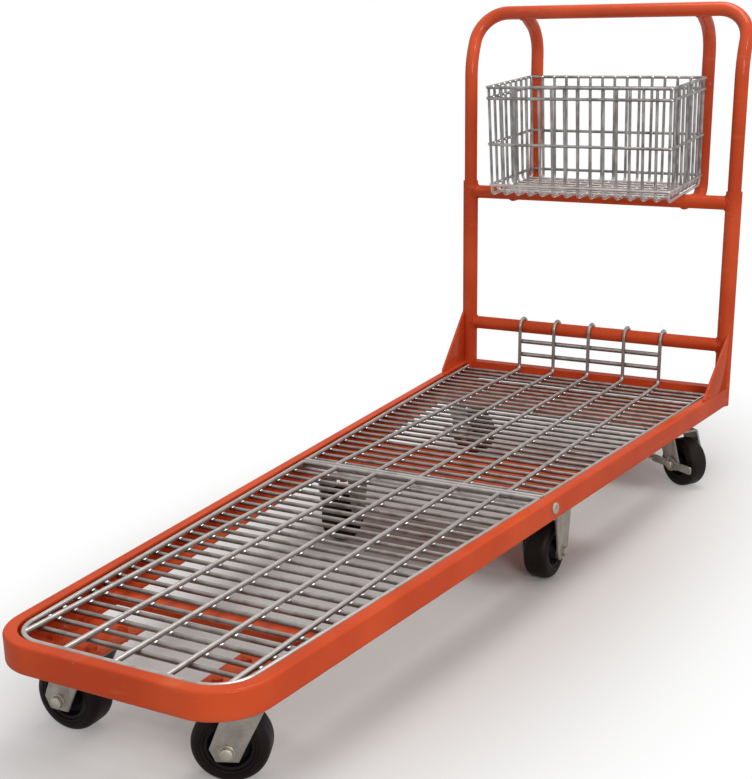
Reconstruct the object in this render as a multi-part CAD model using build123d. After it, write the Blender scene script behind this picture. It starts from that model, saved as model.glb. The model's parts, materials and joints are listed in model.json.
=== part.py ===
from build123d import *
import math
import os

# Six-wheel flat cart: a tapered wire deck in a channel frame, with a tall handle that carries a wire basket.
# Millimetres. While it is modelled, Y runs rearward from the front face of the deck and Z up from the floor.

# Deck frame
deck_length = 1666.5  # front face to the centre of the posts
front_width = 385.2  # over the rails, at the front face
rear_width = 642.0  # over the rails, at the posts
corner_radius = 77.0
rail_depth = 40.0
rail_wall = 3.0
rail_edge_radius = 4.0
top_flange = 18.0
bottom_flange = 45.0
front_rail_reach = 110.0  # the front rail turns both corners and ends here
cope_gap = 0.05  # left where one welded piece is cut to fit round another

# Posts, handle and crossbars; heights are above the top of the rails
post_diameter = 34.0
post_wall = 2.5
post_proud = 2.0  # a post stands this far outside the rail
post_above_mid_bar = 24.0
sleeve_clearance = 0.2
hoop_wall = 2.0
hoop_insert = 70.0  # length of each hoop leg inside its post
hoop_kink_height = 685.0
hoop_kink_radius = 150.0
hoop_bend_radius = 68.0
handle_height = 788.0
handle_setback = 47.5
crossbar_diameter = 29.0
crossbar_wall = 2.0
lower_bar_height = 92.8
mid_bar_height = 398.0
brace_diameter = 28.0
brace_wall = 2.0
brace_x = 200.0
brace_setback = 129.5
brace_shoulder_drop = 43.0  # the brace meets its upright run this far below the handle
brace_bend_radius = 70.0
brace_foot_radius = 34.0
brace_foot_drop = 4.0  # the foot meets the back of the mid crossbar this far below its axis
gusset_length = 146.5
gusset_height = 133.0
gusset_thickness = 5.0
gusset_inset = 1.5
gusset_nose = 6.0

# Members under the deck; places along the cart are distances from the front face
plate_thickness = 4.0
plate_inset = 8.0  # plate edge, in from the outer face of the rail
front_plate_inner_x = 80.0
front_plate_start = 68.0
front_plate_end = 188.0
mid_plate_start = 850.0
mid_plate_end = 1091.0
rear_plate_start = 1432.0
rear_plate_end = 1640.0
front_member_y = 236.5
front_member_width = 39.0
front_member_thickness = 7.0
tube_wall = 2.5
rear_rail_width = 26.0
support_bar_diameter = 16.0
rail_bolt_diameter = 8.0
rail_bolt_length = 34.0
rail_bolt_head = 20.0
rail_bolt_head_height = 4.5
rail_bolt_dome = 3.6  # radius that rounds the head's rim

# Wire deck
frame_wire = 8.5
end_wire = 8.25  # last wire of the front panel, a little under its edge wire
long_wire = 8.0
cross_wire = 7.0
wire_bite = 1.2  # depth that crossing wires sink into one another at a weld
wire_drop = 1.5  # top of the lengthwise wires, below the top of the rails
panel_inset = 25.5  # edge wire centre, in from the outer face of the rail
front_overhang = 3.0
rear_overhang = 3.5
panel_split = 812.0  # where the two panels meet
panel_gap = 3.0
cross_pitch = 30.5
front_first_cross = 72.0  # first cross wire of the front panel, behind the front face
front_long_pitch = 79.0
rear_long_pitch = 84.0
long_wires_each_side = 2
support_gap = 0.3

# Backstop at the rear of the hinged panel
hook_clearance = 0.5
hook_tail = 10.0
backstop_bend_radius = 10.0
backstop_bar = 10.0  # wires across the backstop
backstop_bar_heights = (29.5, 60.0)
rear_wire_margin = 14.0  # last cross wire, ahead of the bends

# Basket; heights are above the top of the rails
basket_wire = 5.0
basket_ring_wire = 5.2
basket_top_half = 200.5
basket_bottom_half = 199.0
basket_depth = 233.0  # front to back at the rim
basket_draft = 4.0  # how far the front and back lean in towards the floor
basket_rim_height = 642.0  # before it is tipped
basket_tilt = 4.6  # degrees, with its back raised
basket_ring_drops = (0.0, 22.5, 119.0, 206.5)  # rings, below the rim
basket_front_spaces = 14
basket_side_spaces = 8
basket_seam_gap = 0.3

# Casters
wheel_diameter = 101.6
tyre_width = 44.0
tyre_shoulder = 11.0
hub_rim_diameter = 66.0
hub_rim_width = 40.0
hub_rim_wall = 5.0
hub_web = 14.0
hub_web_draft = 2.0
hub_boss_diameter = 30.0
hub_length = 50.0
hub_side_gap = 0.5
axle_diameter = 10.0
axle_sleeve = 16.0  # sleeve that the hub runs on
axle_collar = 23.0
axle_nut_size = 16.0
axle_nut_height = 7.0
running_fit = 0.05  # radial clearance of a pin in its hole
fork_inner = 31.0  # inner face of a leg, from the middle of the wheel
fork_leg = 4.0
fork_leg_width = 45.0  # across the lower end
fork_leg_drop = 12.5  # lower edge, below the axle
fork_leg_chamfer = 8.0
fork_leg_chamfer_rise = 17.0
fork_bend_radius = 4.0
yoke_plate = 5.0
yoke_front = 22.0
yoke_rear = 29.0
wheel_clearance = 9.4  # wheel to the underside of the yoke
turntable_height = 7.7
swivel_gap = 0.3
race_height = 6.0
race_diameter = 54.0
kingpin_diameter = 12.0
kingpin_head = 18.0
kingpin_head_height = 5.0
caster_plate = 4.0
caster_plate_width = 82.0
caster_plate_length = 80.0
plate_corner_radius = 4.0
caster_trail = 30.5
rigid_leg_half = 34.0
rigid_plate_width = 78.0
rigid_bolt_x = 20.0  # between the legs
mount_bolt_diameter = 8.0
mount_bolt_fit = 0.1
mount_bolt_head = 13.0
mount_bolt_head_height = 5.5
mount_bolt_x = 32.0
mount_bolt_y = 30.0
lever_plate = 4.0
lever_gap = 0.5  # lever to the leg on one side and to the axle's head on the other
lever_height = 16.0
lever_boss = 30.0
lever_toe = 58.0  # reach of the treadle ahead of the axle
lever_tail = 62.0  # reach of the other end behind the axle
lever_tread = 20.0  # how far the treadle stands out from the lever
front_caster_inset = 70.9  # swivel axis, in from the outer face of the rail
front_caster_y = 127.0
mid_caster_inset = 58.0
mid_caster_y = 900.0
rear_caster_inset = 57.9
rear_caster_y = 1516.0
# Turn of each swivel caster about its axis, where 0 trails straight back
swivel_turns = {"front_right": 114.0, "front_left": 92.0, "rear_right": 238.0, "rear_left": -100.0}

# Heights above the floor, from the wheels up
axle_z = wheel_diameter / 2
yoke_z = wheel_diameter + wheel_clearance
turntable_z = yoke_z + yoke_plate
race_z = turntable_z + turntable_height + swivel_gap
caster_plate_z = race_z + race_height
plate_z = caster_plate_z + caster_plate
rail_z = plate_z + plate_thickness
flange_z = rail_z + rail_wall
deck_z = rail_z + rail_depth
long_wire_z = deck_z - wire_drop - long_wire / 2
cross_wire_z = long_wire_z - (cross_wire + long_wire) / 2 + wire_bite
support_z = long_wire_z - frame_wire / 2 - support_gap
member_z = cross_wire_z - cross_wire / 2 - support_gap
lower_bar_z = deck_z + lower_bar_height
mid_bar_z = deck_z + mid_bar_height
handle_z = deck_z + handle_height
post_top_z = mid_bar_z + post_above_mid_bar

# Plan of the deck
taper = (rear_width - front_width) / 2 / deck_length
taper_angle = math.degrees(math.atan(taper))
slant = math.hypot(1, taper)
post_x = rear_width / 2 - post_diameter / 2 + post_proud
post_y = deck_length
hoop_diameter = post_diameter - 2 * post_wall - 2 * sleeve_clearance
handle_y = post_y + handle_setback
brace_y = post_y + brace_setback
overall_length = brace_y + brace_diameter / 2
rear_rail_front = post_y - rear_rail_width / 2

os.makedirs("parts", exist_ok=True)


def save(name, shape):
    """Writes one node, with the middle of the cart's length brought to Y = 0."""
    shape = Pos(0, -overall_length / 2, 0) * shape
    shape.label = name
    export_step(shape, f"parts/{name}.step")


def half_width(y, inset=0.0):
    """Distance from the centreline to a line that runs inset mm inside the rail's outer face."""
    return front_width / 2 + taper * y - inset * slant


def outline(inset):
    """Plan of the deck, inset from the rail's outer face and run on past the posts."""
    rear = post_y + post_diameter
    front_x = half_width(inset, inset)
    rear_x = half_width(rear, inset)
    face = make_face(Polyline((-rear_x, rear), (-front_x, inset), (front_x, inset), (rear_x, rear), close=True))
    return fillet(face.vertices().sort_by(Axis.Y)[:2], corner_radius - inset)


def slab(inset, low, high):
    """The deck's plan as a plate between two heights."""
    return Pos(0, 0, low) * extrude(outline(inset), amount=high - low)


def block(x0, x1, y0, y1, z0, z1):
    """A box between two corners."""
    return Pos((x0 + x1) / 2, (y0 + y1) / 2, (z0 + z1) / 2) * Box(x1 - x0, y1 - y0, z1 - z0)


def rod(start, end, diameter):
    """A round bar between two points."""
    run = Vector(*end) - Vector(*start)
    return Solid.make_cylinder(diameter / 2, run.length, Plane(origin=start, z_dir=run))


def bent_bar(points, radii, diameter, wall=0.0):
    """A round bar, or a tube where it has a wall, bent along straight runs and arcs."""
    path = FilletPolyline(*points, radius=radii)
    section = Circle(diameter / 2)
    if wall:
        section -= Circle(diameter / 2 - wall)
    return sweep(Plane(origin=path @ 0, z_dir=path % 0) * section, path=path)


def straight_tube(start, end, diameter, wall):
    """A straight round tube between two points."""
    return rod(start, end, diameter) - rod(start, end, diameter - 2 * wall)


def hexagon(size, height):
    """A hexagonal prism, by its size across flats, standing on the plane at its origin."""
    return extrude(RegularPolygon(size / math.sqrt(3), 6), amount=height)


def weld(pieces):
    """Joins a list of wires into one solid."""
    return pieces[0].fuse(*pieces[1:])


def flip(shape):
    """The same piece on the other side of the cart."""
    return mirror(shape, about=Plane.YZ)


# Casters stand under the rails, in pairs
caster_x = {
    "front": half_width(front_caster_y) - front_caster_inset,
    "mid": half_width(mid_caster_y) - mid_caster_inset,
    "rear": half_width(rear_caster_y) - rear_caster_inset,
}
caster_y = {"front": front_caster_y, "mid": mid_caster_y, "rear": rear_caster_y}
bolt_x = {"front": mount_bolt_x, "mid": rigid_bolt_x, "rear": mount_bolt_x}
stations = [(row, side) for row in ("front", "mid", "rear") for side in ("left", "right")]


def caster_place(row, side):
    """Where a caster's upright axis meets the floor."""
    sign = 1 if side == "right" else -1
    return Pos(sign * caster_x[row], caster_y[row], 0)


def bolt_places():
    """Every caster bolt's X and Y."""
    return [
        (caster_place(row, side) * Pos(u * bolt_x[row], v * mount_bolt_y, 0)).position
        for row, side in stations
        for u in (-1, 1)
        for v in (-1, 1)
    ]


def mount_bolt(place):
    """A caster bolt with its nut, whose head sits on the rail's flange where it passes through that."""
    over_flange = half_width(place.Y) - abs(place.X) < bottom_flange
    seat = flange_z if over_flange else rail_z
    foot = caster_plate_z - mount_bolt_head_height
    bolt = rod((place.X, place.Y, foot), (place.X, place.Y, seat), mount_bolt_diameter)
    head = Pos(place.X, place.Y, seat) * hexagon(mount_bolt_head, mount_bolt_head_height)
    nut = Pos(place.X, place.Y, foot) * hexagon(mount_bolt_head, mount_bolt_head_height)
    return bolt + head + nut


bolt_holes = [
    rod((p.X, p.Y, caster_plate_z), (p.X, p.Y, deck_z), mount_bolt_diameter + 2 * mount_bolt_fit)
    for p in bolt_places()
]

# Posts and what is cut round them
post_foot = (post_x, post_y, rail_z)
post_head = (post_x, post_y, post_top_z)
post_right = straight_tube(post_foot, post_head, post_diameter, post_wall)
post_left = flip(post_right)
post_cut = rod(post_foot, post_head, post_diameter + 2 * cope_gap)
post_cuts = [post_cut, flip(post_cut)]
save("post_right", post_right)
save("post_left", post_left)

# Rails: one channel section that opens inward, cut into a front rail and two side rails
bar_y = panel_split
bar_z = support_z - support_bar_diameter / 2
bolt_seat = Pos(half_width(bar_y), bar_y, bar_z) * Rot(0, 0, -taper_angle) * Rot(0, -90, 0)
rail_bolt_cut = bolt_seat * Cylinder(
    rail_bolt_diameter / 2 + running_fit, rail_bolt_length, align=(Align.CENTER, Align.CENTER, Align.MIN)
)
full = slab(0, rail_z, deck_z)
rim_edges = full.faces().sort_by(Axis.Z)[0].edges() + full.faces().sort_by(Axis.Z)[-1].edges()
channel = fillet(rim_edges, rail_edge_radius)
channel -= slab(rail_wall, flange_z, deck_z - rail_wall)
channel -= slab(top_flange, deck_z - rail_wall, deck_z)
channel -= slab(bottom_flange, rail_z, flange_z)
rear_rail_block = block(-post_x, post_x, rear_rail_front, post_y + rear_rail_width / 2, rail_z, deck_z)
channel -= [rear_rail_block, *post_cuts, *bolt_holes, rail_bolt_cut, flip(rail_bolt_cut)]
front_zone = block(-rear_width, rear_width, -1, front_rail_reach, rail_z, deck_z)
right_zone = block(0, rear_width, front_rail_reach, post_y, rail_z, deck_z)
side_rail_right = channel & right_zone
save("front_rail", channel & front_zone)
save("side_rail_right", side_rail_right)
save("side_rail_left", channel & flip(right_zone))

# Rear cross rail, between the posts
rear_rail = rear_rail_block - block(
    -post_x,
    post_x,
    rear_rail_front + tube_wall,
    post_y + rear_rail_width / 2 - tube_wall,
    rail_z + tube_wall,
    deck_z - tube_wall,
)
save("rear_cross_rail", rear_rail - post_cuts)

# Gussets stand on the side rails and brace the posts
gusset_plan = Polyline(
    (-gusset_length, 0), (0, 0), (0, gusset_height), (-gusset_length, gusset_nose), close=True
)
gusset = extrude(Plane.YZ * make_face(gusset_plan), amount=-gusset_thickness)
gusset_seat = Pos(half_width(post_y) - gusset_inset, post_y, deck_z) * Rot(0, 0, -taper_angle)
gusset_right = gusset_seat * gusset - post_cut
save("gusset_right", gusset_right)
save("gusset_left", flip(gusset_right))

# Plates and members under the deck
plan = slab(plate_inset, plate_z, rail_z)
front_plate_zone = block(front_plate_inner_x, rear_width, front_plate_start, front_plate_end, plate_z, rail_z)
front_plate_right = (plan & front_plate_zone) - bolt_holes
save("caster_plate_front_right", front_plate_right)
save("caster_plate_front_left", flip(front_plate_right))
mid_zone = block(-rear_width, rear_width, mid_plate_start, mid_plate_end, plate_z, rail_z)
save("mid_cross_plate", (plan & mid_zone) - bolt_holes)
rear_zone = block(-rear_width, rear_width, rear_plate_start, rear_plate_end, plate_z, rail_z)
save("rear_cross_plate", (plan & rear_zone) - bolt_holes)
between_webs = slab(rail_wall, flange_z, deck_z - rail_wall)
member_front = front_member_y - front_member_width / 2
member_rear = front_member_y + front_member_width / 2
# The front member is a flat bar whose two ends turn up to carry the edge wires of the front panel
ear_outer = panel_inset - front_member_thickness / 2
ear_inner = panel_inset + front_member_thickness / 2
bar_top = flange_z + front_member_thickness
member = block(-rear_width, rear_width, member_front, member_rear, flange_z, member_z) & (
    slab(ear_outer, flange_z, member_z) - slab(ear_inner, bar_top, member_z)
)
save("front_cross_member", member)

# Round bar under the joint of the two deck panels, held by a bolt through each rail
support_bar = rod((-rear_width / 2, bar_y, bar_z), (rear_width / 2, bar_y, bar_z), support_bar_diameter)
save("panel_support_bar", (support_bar & between_webs) - [rail_bolt_cut, flip(rail_bolt_cut)])
bolt_shank = Cylinder(rail_bolt_diameter / 2, rail_bolt_length, align=(Align.CENTER, Align.CENTER, Align.MIN))
bolt_dome = Cylinder(rail_bolt_head / 2, rail_bolt_head_height, align=(Align.CENTER, Align.CENTER, Align.MAX))
bolt_dome = fillet(bolt_dome.edges().sort_by(Axis.Z)[0], rail_bolt_dome)
rail_bolt = bolt_seat * (bolt_shank + bolt_dome)
save("rail_bolts", Compound([rail_bolt.solid(), flip(rail_bolt).solid()]))
save("caster_bolts", Compound([mount_bolt(p).solid() for p in bolt_places()]))

# Crossbars, handle hoop and braces
lower_bar_ends = ((-post_x, post_y, lower_bar_z), (post_x, post_y, lower_bar_z))
mid_bar_ends = ((-post_x, post_y, mid_bar_z), (post_x, post_y, mid_bar_z))
save("lower_crossbar", straight_tube(*lower_bar_ends, crossbar_diameter, crossbar_wall) - post_cuts)
save("mid_crossbar", straight_tube(*mid_bar_ends, crossbar_diameter, crossbar_wall) - post_cuts)
hoop_foot_z = post_top_z - hoop_insert
kink_z = deck_z + hoop_kink_height
hoop_points = [
    (-post_x, post_y, hoop_foot_z),
    (-post_x, post_y, kink_z),
    (-post_x, handle_y, handle_z),
    (post_x, handle_y, handle_z),
    (post_x, post_y, kink_z),
    (post_x, post_y, hoop_foot_z),
]
hoop_radii = [hoop_kink_radius, hoop_bend_radius, hoop_bend_radius, hoop_kink_radius]
save("handle_hoop", bent_bar(hoop_points, hoop_radii, hoop_diameter, hoop_wall))
brace_foot_z = mid_bar_z - brace_foot_drop
brace_points = [
    (brace_x, handle_y, handle_z),
    (brace_x, brace_y, handle_z - brace_shoulder_drop),
    (brace_x, brace_y, brace_foot_z),
    (brace_x, post_y, brace_foot_z),
]
top_bar_cut = rod((-post_x, handle_y, handle_z), (post_x, handle_y, handle_z), hoop_diameter + 2 * cope_gap)
mid_bar_cut = rod(*mid_bar_ends, crossbar_diameter + 2 * cope_gap)
brace = bent_bar(brace_points, [brace_bend_radius, brace_foot_radius], brace_diameter, brace_wall)
brace_right = (brace - [top_bar_cut, mid_bar_cut]).solids().sort_by(SortBy.VOLUME)[-1]
save("brace_right", brace_right)
save("brace_left", flip(brace_right))


# Wire deck
def edge_x(y):
    """Half-width of the front panel's edge wire, which rounds the two front corners."""
    bend = corner_radius - panel_inset
    centre_y = panel_inset + bend
    centre_x = half_width(centre_y, panel_inset) - bend
    if y < centre_y:
        return centre_x + math.sqrt(bend**2 - (centre_y - y) ** 2)
    return half_width(y, panel_inset)


def front_edge_y(x):
    """Where a lengthwise wire starts on the front panel's edge wire."""
    bend = corner_radius - panel_inset
    centre_y = panel_inset + bend
    centre_x = half_width(centre_y, panel_inset) - bend
    over = max(abs(x) - centre_x, 0.0)
    return centre_y - math.sqrt(bend**2 - over**2)


def rungs(first, last):
    """Even places for the cross wires between a panel's two ends."""
    spaces = round((last - first) / cross_pitch)
    return [first + (last - first) * k / spaces for k in range(1, spaces)]


def steps_back(first, last):
    """Places for cross wires at their set pitch from a first one on, as many as fit before a panel's end."""
    count = int((last - first - cross_wire) / cross_pitch) + 1
    return [first + k * cross_pitch for k in range(count)]


def cross_rod(y, half, z, diameter):
    """A wire across the cart."""
    return rod((-half, y, z), (half, y, z), diameter)


long_steps = range(-long_wires_each_side, long_wires_each_side + 1)
front_end = panel_split - panel_gap / 2 - frame_wire / 2
end_x = half_width(front_end, panel_inset)
front_x = half_width(panel_inset, panel_inset)
edge_points = [
    (-end_x, front_end, long_wire_z),
    (-front_x, panel_inset, long_wire_z),
    (front_x, panel_inset, long_wire_z),
    (end_x, front_end, long_wire_z),
]
front_wires = [bent_bar(edge_points, [corner_radius - panel_inset] * 2, frame_wire).solid()]
front_wires += [cross_rod(front_end, end_x + frame_wire / 4, long_wire_z, end_wire)]
for step in long_steps:
    x = step * front_long_pitch
    front_wires.append(rod((x, front_edge_y(x), long_wire_z), (x, front_end, long_wire_z), long_wire))
for y in steps_back(front_first_cross, front_end):
    front_wires.append(cross_rod(y, edge_x(y) + front_overhang, cross_wire_z, cross_wire))
save("front_deck_panel", weld(front_wires))

# Rear panel: its lengthwise wires turn up into the backstop, whose hooks hang on the lower crossbar
rear_start = panel_split + panel_gap / 2 + frame_wire / 2
hook_radius = crossbar_diameter / 2 + hook_clearance + long_wire / 2
upright_y = post_y - hook_radius
bend_start = upright_y - backstop_bend_radius
rear_last = bend_start - rear_wire_margin
start_x = half_width(rear_start, panel_inset)
last_x = half_width(rear_last, panel_inset)
rear_wires = [cross_rod(rear_start, start_x + frame_wire / 4, long_wire_z, frame_wire)]
for side in (-1, 1):
    side_start = (side * start_x, rear_start, long_wire_z)
    side_end = (side * last_x, rear_last + cross_wire / 2, long_wire_z)
    rear_wires.append(rod(side_start, side_end, long_wire))
for step in long_steps:
    x = step * rear_long_pitch
    rear_wires.append(rod((x, rear_start, long_wire_z), (x, bend_start, long_wire_z), long_wire))
for y in [*rungs(rear_start, rear_last), rear_last]:
    rear_wires.append(cross_rod(y, half_width(y, panel_inset) + rear_overhang, cross_wire_z, cross_wire))
save("rear_deck_panel", weld(rear_wires))

backstop_wires = []
diagonal = math.sqrt(0.5)
for step in long_steps:
    x = step * rear_long_pitch
    bend_end_z = long_wire_z + backstop_bend_radius
    turn_up = ThreePointArc(
        (x, bend_start, long_wire_z),
        (x, bend_start + backstop_bend_radius * diagonal, bend_end_z - backstop_bend_radius * diagonal),
        (x, upright_y, bend_end_z),
    )
    upright = Line((x, upright_y, bend_end_z), (x, upright_y, lower_bar_z))
    over_bar = ThreePointArc(
        (x, upright_y, lower_bar_z),
        (x, post_y, lower_bar_z + hook_radius),
        (x, post_y + hook_radius, lower_bar_z),
    )
    tail = Line((x, post_y + hook_radius, lower_bar_z), (x, post_y + hook_radius, lower_bar_z - hook_tail))
    path = Wire([*turn_up.edges(), *upright.edges(), *over_bar.edges(), *tail.edges()])
    section = Plane(origin=path @ 0, z_dir=path % 0) * Circle(long_wire / 2)
    backstop_wires.append(sweep(section, path=path).solid())
backstop_half = long_wires_each_side * rear_long_pitch
backstop_bar_y = upright_y + (long_wire + backstop_bar) / 2 - wire_bite
for height in backstop_bar_heights:
    backstop_wires.append(cross_rod(backstop_bar_y, backstop_half, deck_z + height, backstop_bar))
save("backstop", weld(backstop_wires))

# Basket: four wire walls and a floor, which lies on the mid crossbar, tipped forward with its back at the braces
basket_z = mid_bar_z + crossbar_diameter / 2 + basket_wire / 2
rim_z = deck_z + basket_rim_height
ring_heights = [rim_z - drop for drop in basket_ring_drops]
ring_step = (basket_wire + basket_ring_wire) / 2 - wire_bite
wall_foot_z = basket_z + ring_step + basket_ring_wire / 2 + basket_seam_gap


def rise(z):
    """How far up the basket a height lies, from 0 at its floor to 1 at its rim."""
    return (z - basket_z) / (rim_z - basket_z)


lowest_ring = ring_heights[-1]
ring_stop = brace_y - brace_diameter / 2 - basket_ring_wire / 2 - cope_gap  # where the lowest ring meets the braces
tip_back = (lowest_ring - mid_bar_z) * math.tan(math.radians(basket_tilt))
basket_back = ring_stop - ring_step + tip_back + basket_draft * (1 - rise(lowest_ring))
basket_front = basket_back - basket_depth


def basket_half(z):
    """Half the basket's width at a height."""
    return basket_bottom_half + (basket_top_half - basket_bottom_half) * rise(z)


def front_y(z):
    """The basket's front face at a height."""
    return basket_front + basket_draft * (1 - rise(z))


def back_y(z):
    """The basket's back face at a height."""
    return basket_back - basket_draft * (1 - rise(z))


def end_wall(face_y, outward):
    """The front or back wall: upright wires, with the rings across them on the outside."""
    wires = []
    for k in range(basket_front_spaces + 1):
        share = 2 * k / basket_front_spaces - 1
        foot = (share * basket_half(wall_foot_z), face_y(wall_foot_z), wall_foot_z)
        head = (share * basket_half(rim_z), face_y(rim_z), rim_z)
        wires.append(rod(foot, head, basket_wire))
    for z in ring_heights:
        wires.append(cross_rod(face_y(z) + outward * ring_step, basket_half(z) + ring_step, z, basket_ring_wire))
    return weld(wires)


def right_wall():
    """The right wall, whose rings stop just short of the corner wires of the front and back."""
    wires = []
    for k in range(1, basket_side_spaces):
        share = k / basket_side_spaces
        foot_y = front_y(wall_foot_z) + share * (back_y(wall_foot_z) - front_y(wall_foot_z))
        head_y = front_y(rim_z) + share * (back_y(rim_z) - front_y(rim_z))
        foot = (basket_half(wall_foot_z), foot_y, wall_foot_z)
        head = (basket_half(rim_z), head_y, rim_z)
        wires.append(rod(foot, head, basket_wire))
    stop = basket_wire / 2 + basket_seam_gap
    for z in ring_heights:
        x = basket_half(z) + ring_step
        wires.append(rod((x, front_y(z) + stop, z), (x, back_y(z) - stop, z), basket_ring_wire))
    return weld(wires)


def basket_floor():
    """Floor grid: lengthwise wires lie on the crossbar, with the wires across on top."""
    wires = []
    front = front_y(basket_z)
    back = back_y(basket_z)
    for k in range(basket_front_spaces + 1):
        x = basket_bottom_half * (2 * k / basket_front_spaces - 1)
        wires.append(rod((x, front, basket_z), (x, back, basket_z), basket_wire))
    for k in range(basket_side_spaces + 1):
        y = front + (back - front) * k / basket_side_spaces
        wires.append(cross_rod(y, basket_bottom_half, basket_z + ring_step, basket_ring_wire))
    return weld(wires)


def tipped(shape):
    """The basket's lean, about the mid crossbar."""
    return Pos(0, post_y, mid_bar_z) * Rot(basket_tilt, 0, 0) * Pos(0, -post_y, -mid_bar_z) * shape


basket_right = right_wall()
save("basket_front", tipped(end_wall(front_y, -1)))
save("basket_back", tipped(end_wall(back_y, 1)))
save("basket_right", tipped(basket_right))
save("basket_left", tipped(flip(basket_right)))
save("basket_floor", tipped(basket_floor()))


# Casters; each is modelled about its upright axis, trailing to the rear, and then turned and set in its place
fork_outer = fork_inner + fork_leg
axle_bore = axle_diameter + 2 * running_fit
lever_inner = fork_outer + lever_gap
lever_outer = lever_inner + lever_plate


def axle_rod(y, start, end, diameter):
    """A bar along an axle that lies y behind the caster's upright axis."""
    return rod((start, y, axle_z), (end, y, axle_z), diameter)


def fork_legs(y, top, front, rear):
    """A fork's two legs, plates that narrow downward and end in a chamfered foot at the axle."""
    foot_z = axle_z - fork_leg_drop
    half = fork_leg_width / 2
    side = [
        (front, top),
        (y - half, foot_z + fork_leg_chamfer_rise),
        (y - half + fork_leg_chamfer, foot_z),
        (y + half - fork_leg_chamfer, foot_z),
        (y + half, foot_z + fork_leg_chamfer_rise),
        (rear, top),
    ]
    leg = extrude(Plane.YZ * make_face(Polyline(*side, close=True)), amount=fork_leg)
    right = Pos(fork_inner, 0, 0) * leg
    return [right, flip(right)]


def swivel_fork():
    """Yoke of a swivel caster, with its turntable and the bore for its kingpin."""
    yoke = block(-fork_outer, fork_outer, -yoke_front, yoke_rear, yoke_z, turntable_z)
    fork = yoke + fork_legs(caster_trail, turntable_z, -yoke_front, yoke_rear)
    crown = fork.edges().filter_by(Axis.Y).filter_by_position(Axis.Z, turntable_z, turntable_z)
    fork = fillet(crown, fork_bend_radius)
    fork += rod((0, 0, turntable_z), (0, 0, race_z - swivel_gap), race_diameter)
    fork -= rod((0, 0, yoke_z), (0, 0, race_z), kingpin_diameter + 2 * running_fit)
    return fork - axle_rod(caster_trail, -fork_outer, fork_outer, axle_bore)


def top_plate(width):
    """Plate that a caster is bolted on by, with rounded corners."""
    plate = Pos(0, 0, caster_plate_z + caster_plate / 2) * Box(width, caster_plate_length, caster_plate)
    return fillet(plate.edges().filter_by(Axis.Z), plate_corner_radius)


def swivel_plate():
    """Fixed top plate of a swivel caster, with the raised race that the turntable runs under."""
    plate = top_plate(caster_plate_width)
    plate += rod((0, 0, race_z), (0, 0, caster_plate_z), race_diameter)
    return plate - rod((0, 0, race_z), (0, 0, plate_z), kingpin_diameter + 2 * running_fit)


def kingpin():
    """Pin that the fork turns on, with its head under the yoke."""
    pin = rod((0, 0, yoke_z - swivel_gap), (0, 0, plate_z), kingpin_diameter)
    head_top = yoke_z - swivel_gap
    return pin + rod((0, 0, head_top - kingpin_head_height), (0, 0, head_top), kingpin_head)


def rigid_fork():
    """Fork of a fixed caster: its top plate and two legs."""
    fork = top_plate(rigid_plate_width) + fork_legs(0, caster_plate_z, -rigid_leg_half, rigid_leg_half)
    return fork - axle_rod(0, -fork_outer, fork_outer, axle_bore)


def axle(y, head_x):
    """Axle bolt and its nut outside the legs, with the collared sleeve that keeps the wheel between them."""
    bolt = axle_rod(y, -fork_outer, head_x, axle_diameter)
    head = Pos(head_x, y, axle_z) * Rot(0, 90, 0) * hexagon(axle_nut_size, axle_nut_height)
    nut = Pos(-fork_outer, y, axle_z) * Rot(0, -90, 0) * hexagon(axle_nut_size, axle_nut_height)
    sleeve_end = fork_inner - cope_gap
    collar_face = hub_length / 2 + hub_side_gap
    sleeve = axle_rod(y, -sleeve_end, sleeve_end, axle_sleeve)
    collar = axle_rod(y, collar_face, sleeve_end, axle_collar)
    return bolt.fuse(head, nut, sleeve, collar, flip(collar))


def brake_lever(y):
    """Foot lever of a caster's brake: it rocks on the axle, outside the leg, and ends in a treadle."""
    arm = Pos(y + (lever_tail - lever_toe) / 2, axle_z) * RectangleRounded(
        lever_toe + lever_tail, lever_height, lever_plate
    )
    plate = extrude(Plane.YZ * (arm + Pos(y, axle_z) * Circle(lever_boss / 2)), amount=lever_plate)
    lever = Pos(lever_inner, 0, 0) * plate
    lever += block(
        lever_outer - lever_plate,
        lever_outer + lever_tread,
        y - lever_toe + lever_plate,
        y - lever_toe + lever_plate + lever_height,
        axle_z + lever_height / 2 - lever_plate,
        axle_z + lever_height / 2,
    )
    return lever - axle_rod(y, lever_inner, lever_outer, axle_bore)


def turned(points, y):
    """A ring turned about an axle, from an outline of distances along it and radii."""
    face = make_face(Plane.XY * Polyline(*points, close=True))
    return Pos(0, y, axle_z) * revolve(face, Axis.X)


def hub(y):
    """Wheel centre: a bored boss, a web and the rim that the tyre is seated on."""
    rim = hub_rim_diameter / 2
    outline_points = [
        (hub_length / 2, axle_sleeve / 2 + running_fit),
        (hub_length / 2, hub_boss_diameter / 2),
        (hub_web / 2, hub_boss_diameter / 2 + hub_web_draft),
        (hub_web / 2, rim - hub_rim_wall - hub_web_draft),
        (hub_rim_width / 2, rim - hub_rim_wall),
        (hub_rim_width / 2, rim),
    ]
    mirrored = [(-along, radius) for along, radius in reversed(outline_points)]
    return turned(outline_points + mirrored, y)


def tyre(y):
    """Rubber tyre with rounded shoulders."""
    rim = hub_rim_diameter / 2
    half = tyre_width / 2
    ring = turned([(-half, rim), (half, rim), (half, wheel_diameter / 2), (-half, wheel_diameter / 2)], y)
    shoulders = ring.edges().filter_by(GeomType.CIRCLE).filter_by(lambda e: e.radius > rim + 1)
    return fillet(shoulders, tyre_shoulder)


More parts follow.
